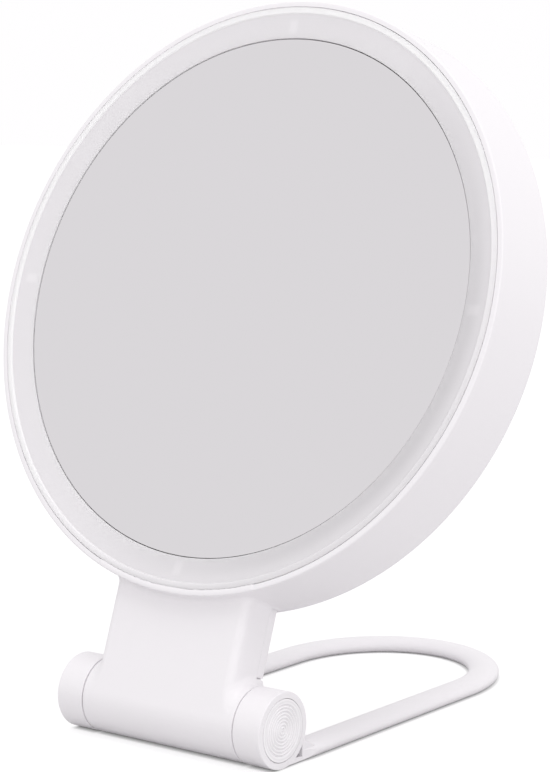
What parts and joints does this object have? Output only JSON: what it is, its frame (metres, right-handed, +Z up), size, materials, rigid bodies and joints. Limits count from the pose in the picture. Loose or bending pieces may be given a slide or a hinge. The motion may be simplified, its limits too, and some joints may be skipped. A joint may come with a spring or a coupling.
{
  "type": "lighted makeup mirror",
  "caption": "Round tabletop makeup mirror with a light ring around the glass, on a short neck hinged to a flat oval loop foot, all in white plastic.",
  "frame": {"origin": "centre of the footprint on the table, under the mirror as it stands in the picture", "axes": "+Z up from the table, -Y towards the user in front of the glass, +X to the right of the user along the hinge axis"},
  "size_m": [0.1862, 0.155, 0.2185],
  "materials": {
    "white_plastic": "satin",
    "cap_plastic": "satin, turned grooves",
    "opal_plastic": "satin, translucent",
    "mirror": "polished",
    "foam": "matt",
    "inner_white": "matt",
    "steel": "satin",
    "spring_steel": "polished",
    "acetal": "satin",
    "lamp_board": "white solder mask",
    "lamp_chip": "clear resin over phosphor",
    "green_board": "green solder mask",
    "black_parts": "matt",
    "cell_sleeve": "plain printed sleeve, unmarked",
    "red_wire": "gloss",
    "black_wire": "gloss",
    "white_wire": "gloss"
  },
  "bodies": {
    "foot": {"foot_frame": "white_plastic", "hinge_shaft": "steel", "end_cap_right": "cap_plastic", "end_cap_left": "cap_plastic", "hinge_nuts": "steel", "wave_washers": "spring_steel", "flat_washers": "steel", "friction_washers": "acetal"},
    "head": {"front_housing": "white_plastic", "rear_cover": "white_plastic", "cover_screws": "steel", "mirror_glass": "mirror", "mirror_tape": "foam", "diffuser_ring": "opal_plastic", "mirror_tray": "inner_white", "led_board": "lamp_board", "leds": "lamp_chip", "control_board": "green_board", "board_parts": "black_parts", "board_screws": "steel", "tact_switch": "black_parts", "hinge_bushes": "acetal", "battery_cells": "cell_sleeve", "contact_plates": "spring_steel", "contact_springs": "spring_steel", "red_lead": "red_wire", "black_lead": "black_wire", "lamp_leads": "white_wire"},
    "button": {"power_button": "white_plastic", "switch_plunger": "black_parts"},
    "door": {"battery_door": "white_plastic", "door_pad": "foam"}
  },
  "joints": [
    {"name": "head_tilt", "type": "hinge", "parent": "foot", "child": "head", "pos_m": [0, -0.06625, 0.0113], "axis": [1, 0, 0], "range_deg": [-69.7, 109.6]},
    {"name": "power_press", "type": "slide", "parent": "head", "child": "button", "axis": [0, -0.9421, 0.3355], "range_m": [0, 0.0008], "stiffness_N_per_m": 2000, "springref_m": -0.0005},
    {"name": "door_swing", "type": "hinge", "parent": "head", "child": "door", "pos_m": [0, -0.03597, 0.07578], "axis": [-1, 0, 0], "range_deg": [0, 75]}
  ]
}
